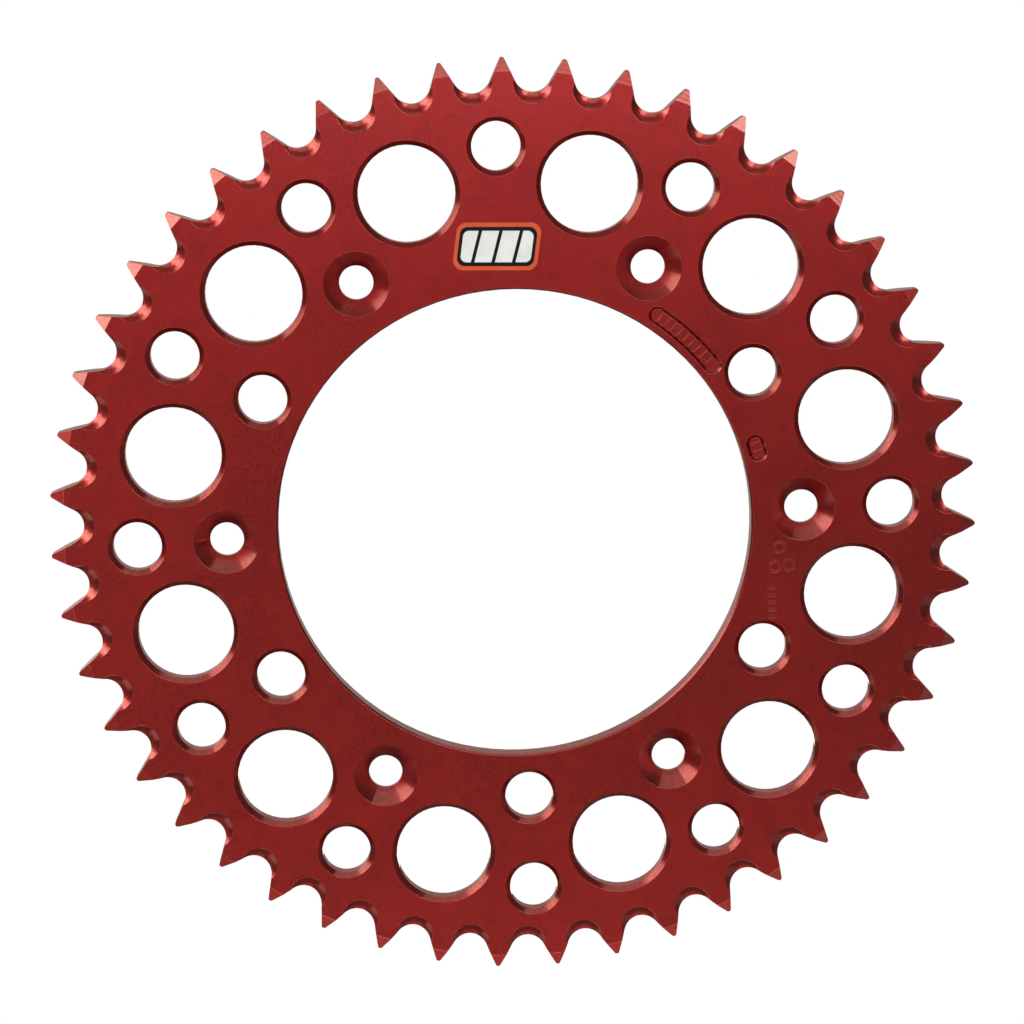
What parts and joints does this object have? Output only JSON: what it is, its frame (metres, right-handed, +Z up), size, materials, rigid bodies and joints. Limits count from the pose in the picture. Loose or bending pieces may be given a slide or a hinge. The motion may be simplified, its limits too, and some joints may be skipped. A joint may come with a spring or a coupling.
{
  "type": "rear sprocket",
  "caption": "Flat toothed ring for a motorcycle roller chain, with a large hub bore, countersunk bolt holes, round lightening holes and a mud scoop at each gullet.",
  "frame": {"origin": "centre of the hub bore, halfway through the plate, on the chain line", "axes": "+Y along the wheel axle towards the hub; the outer, countersunk face looks to -Y; +Z up, with the decal at the top; +X to the right seen from the outer face"},
  "size_m": [0.2452, 0.0061, 0.2453],
  "materials": {
    "anodised_plate": "satin red anodised, fine matt grain",
    "decal_orange": "gloss vinyl",
    "decal_black": "gloss print",
    "decal_white": "gloss print"
  },
  "bodies": {
    "root": {"sprocket_plate": "anodised_plate", "decal_film": "decal_orange", "decal_black_print": "decal_black", "decal_white_print": "decal_white"}
  },
  "joints": []
}
